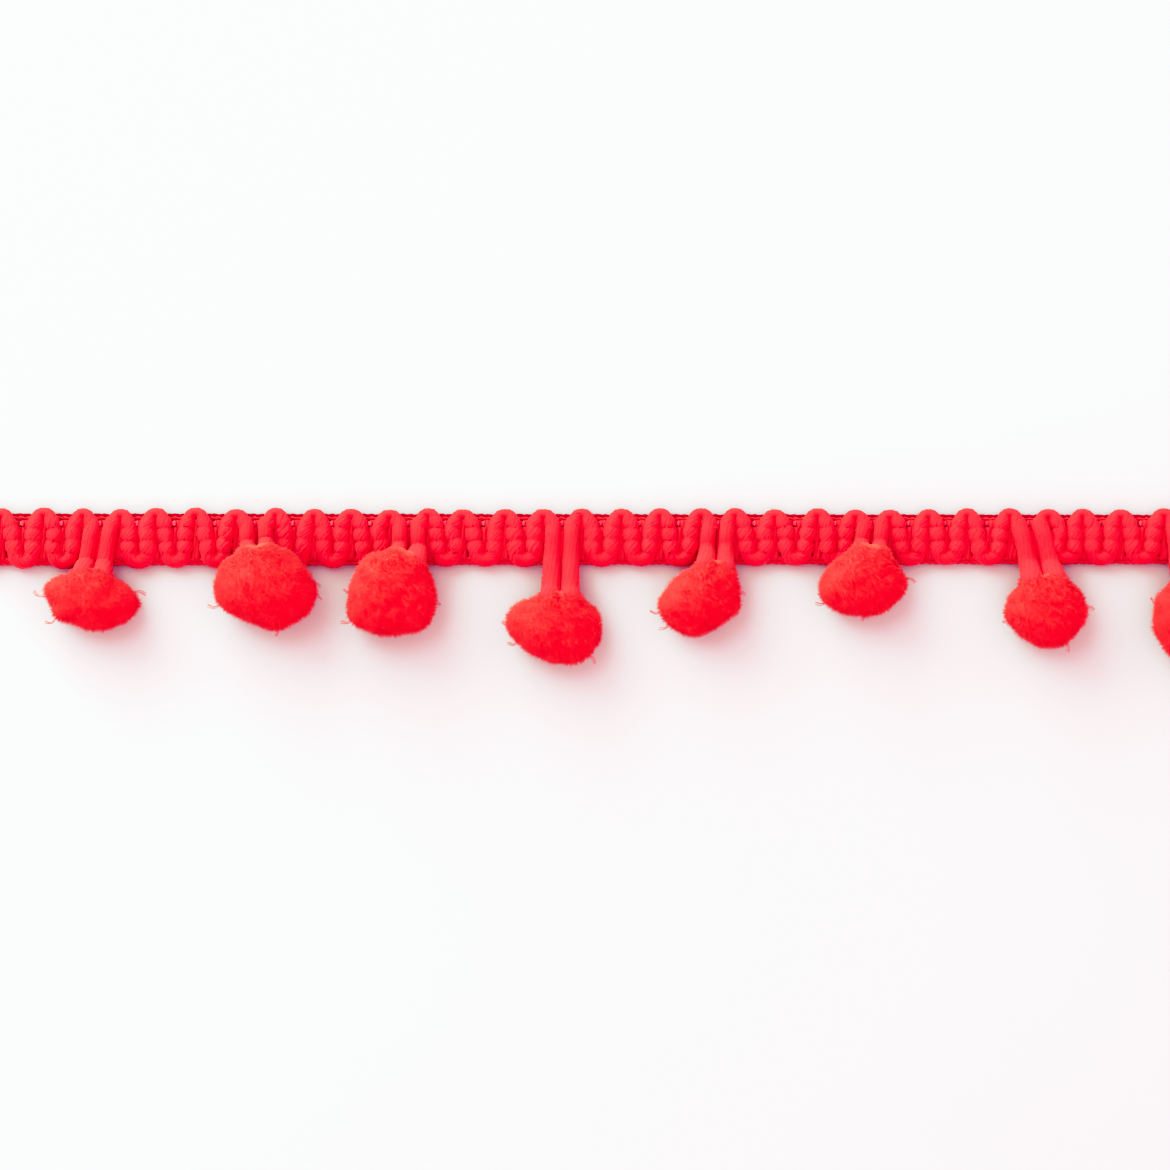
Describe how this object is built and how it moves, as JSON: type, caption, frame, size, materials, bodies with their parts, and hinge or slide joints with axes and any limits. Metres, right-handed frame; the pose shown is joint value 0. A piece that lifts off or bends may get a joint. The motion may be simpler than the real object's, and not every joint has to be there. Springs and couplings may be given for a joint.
{
  "type": "pompom fringe trim",
  "caption": "Narrow crocheted red braid with a picot edge, laid flat and straight, with a row of small fuzzy pompoms hanging from its lower edge on short double yarn stems.",
  "frame": {"origin": "middle of the braid's flat back face, half way along the cut length and half way between the braid's edges", "axes": "+X along the braid, +Y across it towards the picot edge with the pompoms on the -Y side, +Z out of the braid's face, away from the cloth or table that its back lies on"},
  "size_m": [0.119, 0.0144, 0.0071],
  "materials": {
    "braid_yarn": "soft plied yarn, matt with a faint sheen",
    "pompom_yarn": "trimmed fibre pile, matt and fuzzy"
  },
  "bodies": {
    "root": {"braid": "braid_yarn", "pompom_1": "pompom_yarn", "pompom_2": "pompom_yarn", "pompom_3": "pompom_yarn", "pompom_4": "pompom_yarn", "pompom_5": "pompom_yarn", "pompom_6": "pompom_yarn", "pompom_7": "pompom_yarn", "pompom_8": "pompom_yarn"}
  },
  "joints": []
}
